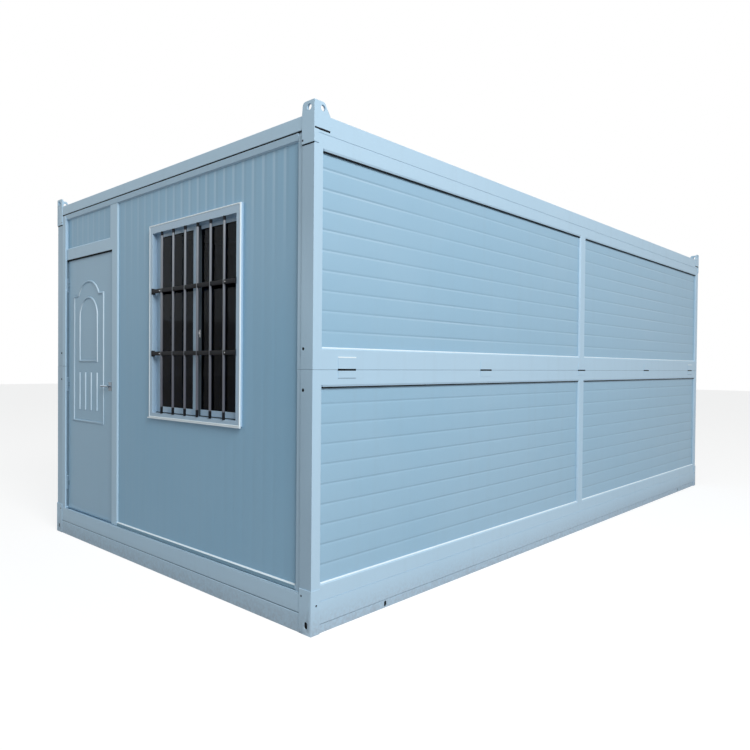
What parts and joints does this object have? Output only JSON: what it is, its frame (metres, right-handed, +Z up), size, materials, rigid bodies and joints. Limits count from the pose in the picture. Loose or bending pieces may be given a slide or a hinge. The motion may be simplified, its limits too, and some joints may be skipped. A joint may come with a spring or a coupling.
{
  "type": "folding container cabin",
  "caption": "Flat-roofed steel cabin whose long walls fold at mid height, with swing-up end walls, a door, a barred window and lifting ears at its corners.",
  "frame": {"origin": "middle of the footprint, on the ground", "axes": "+Z up, +Y from the door end to the back end, +X to the right of someone who faces the door"},
  "size_m": [2.9, 5.85, 2.56],
  "materials": {
    "frame_paint": "pale blue-grey gloss paint on folded steel",
    "panel_paint": "pale blue coil-coated steel skin, ribbed",
    "door_paint": "pale blue painted steel with pressed panels",
    "joist_zinc": "dull zinc-coated steel",
    "floor_wood": "sealed composite board",
    "ceiling_paint": "white coated steel skin",
    "window_plastic": "white extruded plastic",
    "window_glass": "clear float glass with a dark room behind it",
    "handle_steel": "satin steel"
  },
  "bodies": {
    "cabin": {"base_beam_right": "frame_paint", "base_beam_left": "frame_paint", "base_beam_front": "frame_paint", "base_beam_back": "frame_paint", "base_corner_front_right": "frame_paint", "base_corner_front_left": "frame_paint", "base_corner_back_right": "frame_paint", "base_corner_back_left": "frame_paint", "roof_beam_right": "frame_paint", "roof_beam_left": "frame_paint", "roof_beam_front": "frame_paint", "roof_beam_back": "frame_paint", "roof_corner_front_right": "frame_paint", "roof_corner_front_left": "frame_paint", "roof_corner_back_right": "frame_paint", "roof_corner_back_left": "frame_paint", "roof_sheet": "frame_paint", "right_lower_frame": "frame_paint", "right_upper_frame": "frame_paint", "right_fold_hinges": "frame_paint", "left_lower_frame": "frame_paint", "left_upper_frame": "frame_paint", "left_fold_hinges": "frame_paint", "right_wall_panels": "panel_paint", "left_wall_panels": "panel_paint", "floor_joists": "joist_zinc", "swing_hinge_pins": "joist_zinc", "floor_board": "floor_wood", "ceiling": "ceiling_paint"},
    "front_wall": {"front_wall_frame": "frame_paint", "front_wall_panel": "panel_paint", "transom_panel": "panel_paint", "front_swing_leaves": "joist_zinc", "window_frame": "window_plastic", "window_sash_left": "window_plastic", "window_sash_right": "window_plastic", "window_glass": "window_glass", "door_jamb_pins": "frame_paint"},
    "door": {"door_leaf": "door_paint", "door_hinge_leaves": "frame_paint", "door_handle": "handle_steel"},
    "back_wall": {"back_wall_frame": "frame_paint", "back_wall_panel": "panel_paint", "back_swing_leaves": "joist_zinc"}
  },
  "joints": [
    {"name": "front_wall_swing", "type": "hinge", "parent": "cabin", "child": "front_wall", "pos_m": [0, -2.839, 2.414], "axis": [1, 0, 0], "range_deg": [0, 90]},
    {"name": "back_wall_swing", "type": "hinge", "parent": "cabin", "child": "back_wall", "pos_m": [0, 2.839, 2.414], "axis": [-1, 0, 0], "range_deg": [0, 90]},
    {"name": "door_swing", "type": "hinge", "parent": "front_wall", "child": "door", "pos_m": [-1.305, -2.904, 1.2], "axis": [0, 0, -1], "range_deg": [0, 90]}
  ]
}
